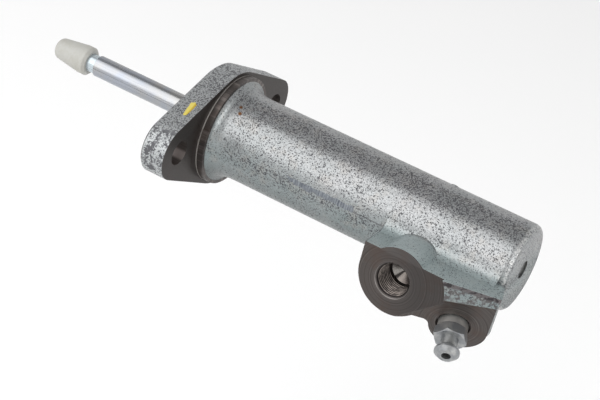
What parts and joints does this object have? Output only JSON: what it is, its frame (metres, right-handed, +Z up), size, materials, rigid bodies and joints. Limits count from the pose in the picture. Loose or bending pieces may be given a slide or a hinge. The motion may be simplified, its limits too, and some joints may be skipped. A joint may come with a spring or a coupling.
{
  "type": "clutch slave cylinder",
  "caption": "Hydraulic clutch slave cylinder: cast barrel with an oval bolt flange, threaded hose port and bleed screw, and a spring-loaded push rod with a moulded tip.",
  "frame": {"origin": "on the cylinder axis, in the plane of the flange's machined face", "axes": "+X along the cylinder axis towards the closed end, Y along the flange's long side with the hose port facing -Y, +Z up"},
  "size_m": [0.1992, 0.0844, 0.0487],
  "materials": {
    "zinc_cast": "zinc plated over a pitted casting, machined faces bare",
    "grey_zinc": "satin zinc plate",
    "bright_zinc": "bright plate",
    "nylon": "off-white moulding",
    "piston_alloy": "turned",
    "seal_rubber": "smooth black",
    "plain_steel": "plain",
    "spring_steel": "plain spring wire",
    "boot_rubber": "matt black"
  },
  "bodies": {
    "cylinder": {"body": "zinc_cast", "stop_washer": "plain_steel", "retaining_ring": "spring_steel", "dust_boot": "boot_rubber", "spring": "spring_steel"},
    "piston_group": {"piston": "piston_alloy", "piston_cup": "seal_rubber", "piston_ring_seal": "seal_rubber", "spring_seat": "plain_steel"},
    "rod_group": {"push_rod": "bright_zinc", "rod_cap": "nylon"},
    "bleeder": {"bleed_screw": "grey_zinc"}
  },
  "joints": [
    {"name": "piston_slide", "type": "slide", "parent": "cylinder", "child": "piston_group", "axis": [1, 0, 0], "range_m": [0, 0.035], "stiffness_N_per_m": 400, "springref_m": -0.05, "deforming": ["spring"]},
    {"name": "rod_swing", "type": "hinge", "parent": "piston_group", "child": "rod_group", "pos_m": [0.007, 0, 0], "axis": [0, 0, 1], "range_deg": [-3, 3], "deforming": ["dust_boot"]},
    {"name": "bleed_turn", "type": "hinge", "parent": "cylinder", "child": "bleeder", "pos_m": [0.10915, -0.0242, -0.017], "axis": [0.33, -0.8641, -0.38], "range_deg": [0, 180]}
  ]
}
